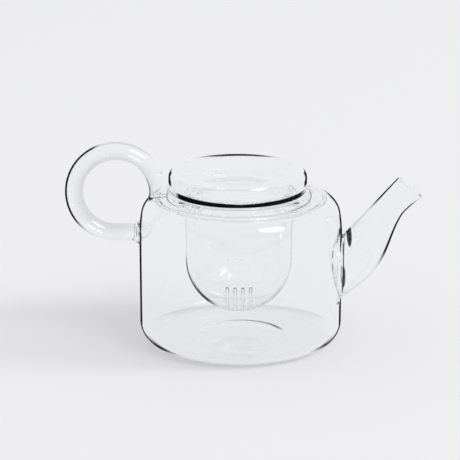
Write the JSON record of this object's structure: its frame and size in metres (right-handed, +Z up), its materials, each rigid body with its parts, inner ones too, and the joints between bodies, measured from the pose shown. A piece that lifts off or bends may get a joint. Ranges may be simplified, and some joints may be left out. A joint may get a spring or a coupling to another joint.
{
  "type": "teapot",
  "caption": "Clear glass teapot with a drum-shaped pot, a ring handle, a tapering spout, a lift-out slotted infuser and a hollow round-edged lid.",
  "frame": {"origin": "on the pot's axis, in the plane of the flat ring it stands on", "axes": "+Z up along the axis of the pot, infuser and lid, +X towards the spout, -X towards the handle"},
  "size_m": [0.2118, 0.121, 0.1213],
  "materials": {
    "clear_glass": "clear, smooth, colourless thin-walled glass"
  },
  "bodies": {
    "pot": {"pot_body": "clear_glass", "spout": "clear_glass", "handle": "clear_glass"},
    "infuser": {"infuser": "clear_glass"},
    "lid": {"lid": "clear_glass"}
  },
  "joints": [
    {"name": "infuser_lift", "type": "slide", "parent": "pot", "child": "infuser", "axis": [0, 0, 1], "range_m": [0, 0.09]},
    {"name": "lid_lift", "type": "slide", "parent": "infuser", "child": "lid", "axis": [0, 0, 1], "range_m": [0, 0.05]}
  ]
}
